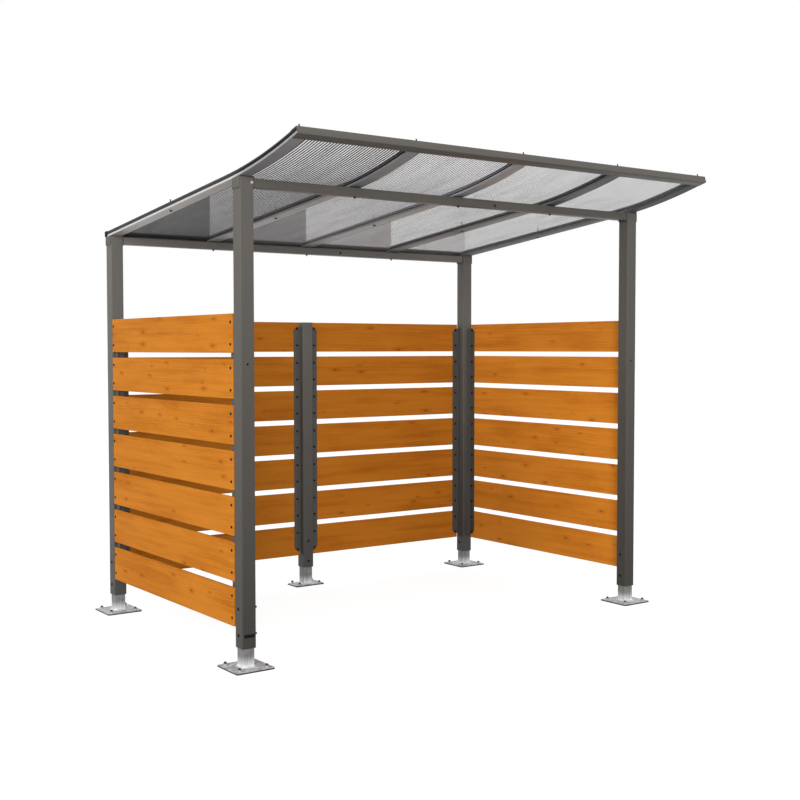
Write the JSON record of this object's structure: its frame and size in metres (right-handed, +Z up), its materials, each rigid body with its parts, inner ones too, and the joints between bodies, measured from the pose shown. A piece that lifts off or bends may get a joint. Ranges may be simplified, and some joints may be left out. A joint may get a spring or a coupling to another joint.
{
  "type": "bike shelter",
  "caption": "Open-fronted steel-framed cycle shelter on bolt-down feet, with horizontal slatted timber cladding on three sides and a clear mono-pitch roof that sweeps up at the front.",
  "frame": {"origin": "centre of the bounding box's underside, on the ground", "axes": "+X to the right seen from the open front, -Y out of the open front, +Z up"},
  "size_m": [2.68, 2.1284, 2.3894],
  "materials": {
    "galvanised": "hot-dip galvanised, matt spangle",
    "painted": "umber-grey powder coat, satin",
    "timber": "oiled softwood boards, horizontal grain",
    "alloy": "mill finish, satin",
    "rubber_black": "black gasket rubber",
    "clear_sheet": "clear multiwall polycarbonate"
  },
  "bodies": {
    "root": {"foot_front_left": "galvanised", "foot_front_right": "galvanised", "foot_rear_left": "galvanised", "foot_rear_middle": "galvanised", "foot_rear_right": "galvanised", "post_front_left": "painted", "post_front_right": "painted", "post_rear_left": "painted", "post_rear_middle": "painted", "post_rear_right": "painted", "boards_left": "timber", "boards_rear_left": "timber", "boards_rear_right": "timber", "boards_right": "timber", "angle_front_left": "painted", "angle_rear_left_side": "painted", "angle_rear_left_back": "painted", "angles_middle": "painted", "angle_rear_right_back": "painted", "angle_rear_right_side": "painted", "angle_front_right": "painted", "saddle_front_left": "painted", "saddle_front_right": "painted", "saddle_rear_left": "painted", "saddle_rear_right": "painted", "beam_front": "painted", "beam_rear": "painted", "rafter_1": "alloy", "rafter_2": "alloy", "rafter_3": "alloy", "rafter_4": "alloy", "rafter_5": "alloy", "gaskets": "rubber_black", "roof_sheet_1": "clear_sheet", "roof_sheet_2": "clear_sheet", "roof_sheet_3": "clear_sheet", "roof_sheet_4": "clear_sheet", "cover_strip_1": "painted", "cover_strip_2": "painted", "cover_strip_3": "painted", "cover_strip_4": "painted", "cover_strip_5": "painted", "edge_beam_front": "painted", "edge_channel_rear": "painted", "edge_channel_plugs": "rubber_black"}
  },
  "joints": []
}
